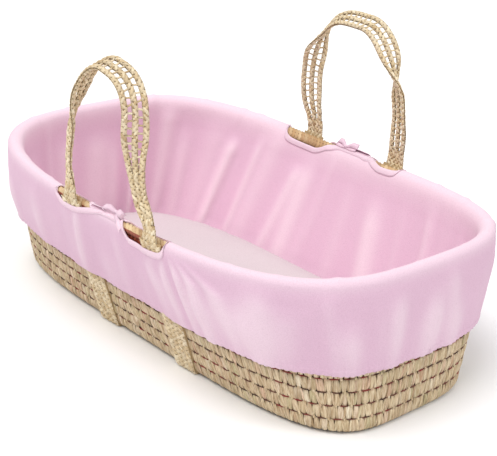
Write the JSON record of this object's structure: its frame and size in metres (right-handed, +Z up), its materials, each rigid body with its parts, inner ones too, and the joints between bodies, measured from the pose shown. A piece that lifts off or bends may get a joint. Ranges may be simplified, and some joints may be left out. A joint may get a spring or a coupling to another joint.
{
  "type": "moses basket",
  "caption": "Oval woven baby basket with sewn plait wall, two carrying straps under the floor, two folding openwork handles, a cloth dressing over the rim and a thin mattress.",
  "frame": {"origin": "on the floor under the middle of the basket", "axes": "+X along the length, +Y across from the front handle to the back handle, +Z up"},
  "size_m": [0.8466, 0.601, 0.4869],
  "materials": {
    "plait_leaf": "dry palm leaf, matt with a faint sheen",
    "rim_leaf": "wrapped palm leaf, matt",
    "strap_leaf": "plaited palm leaf, matt",
    "lacing": "dyed cord, matt",
    "skirt_cloth": "soft brushed jersey, matt",
    "lining_cloth": "soft brushed jersey, matt",
    "mattress_cloth": "soft cotton, matt",
    "foam": "open foam, matt"
  },
  "bodies": {
    "basket": {"base_mat": "plait_leaf", "wall_round_01": "plait_leaf", "wall_round_02": "plait_leaf", "wall_round_03": "plait_leaf", "wall_round_04": "plait_leaf", "wall_round_05": "plait_leaf", "wall_round_06": "plait_leaf", "wall_round_07": "plait_leaf", "wall_round_08": "plait_leaf", "wall_round_09": "plait_leaf", "wall_round_10": "plait_leaf", "lacing_cord": "lacing", "rim_coil": "rim_leaf", "carry_strap_left": "strap_leaf", "carry_strap_right": "strap_leaf", "liner_inner_wall": "lining_cloth", "liner_base": "lining_cloth", "skirt_end_left": "skirt_cloth", "skirt_end_right": "skirt_cloth", "skirt_front": "skirt_cloth", "skirt_back": "skirt_cloth", "flap_front": "skirt_cloth", "flap_back": "skirt_cloth", "opening_facings": "skirt_cloth", "hem_casing": "skirt_cloth", "tie_front": "skirt_cloth", "tie_back": "skirt_cloth"},
    "handle_front": {"handle_front": "strap_leaf", "handle_front_foot_bindings": "strap_leaf"},
    "handle_back": {"handle_back": "strap_leaf", "handle_back_foot_bindings": "strap_leaf"},
    "mattress": {"mattress_foam": "foam", "mattress_cover": "mattress_cloth"}
  },
  "joints": [
    {"name": "handle_front_turn", "type": "hinge", "parent": "basket", "child": "handle_front", "pos_m": [0.0192, -0.27894, 0.243], "axis": [1, 0, 0], "range_deg": [-80, 160]},
    {"name": "handle_back_turn", "type": "hinge", "parent": "basket", "child": "handle_back", "pos_m": [-0.0052, 0.27894, 0.243], "axis": [-1, 0, 0], "range_deg": [-80, 160]},
    {"name": "mattress_lift", "type": "slide", "parent": "basket", "child": "mattress", "axis": [0, 0, 1], "range_m": [0, 0.45]}
  ]
}
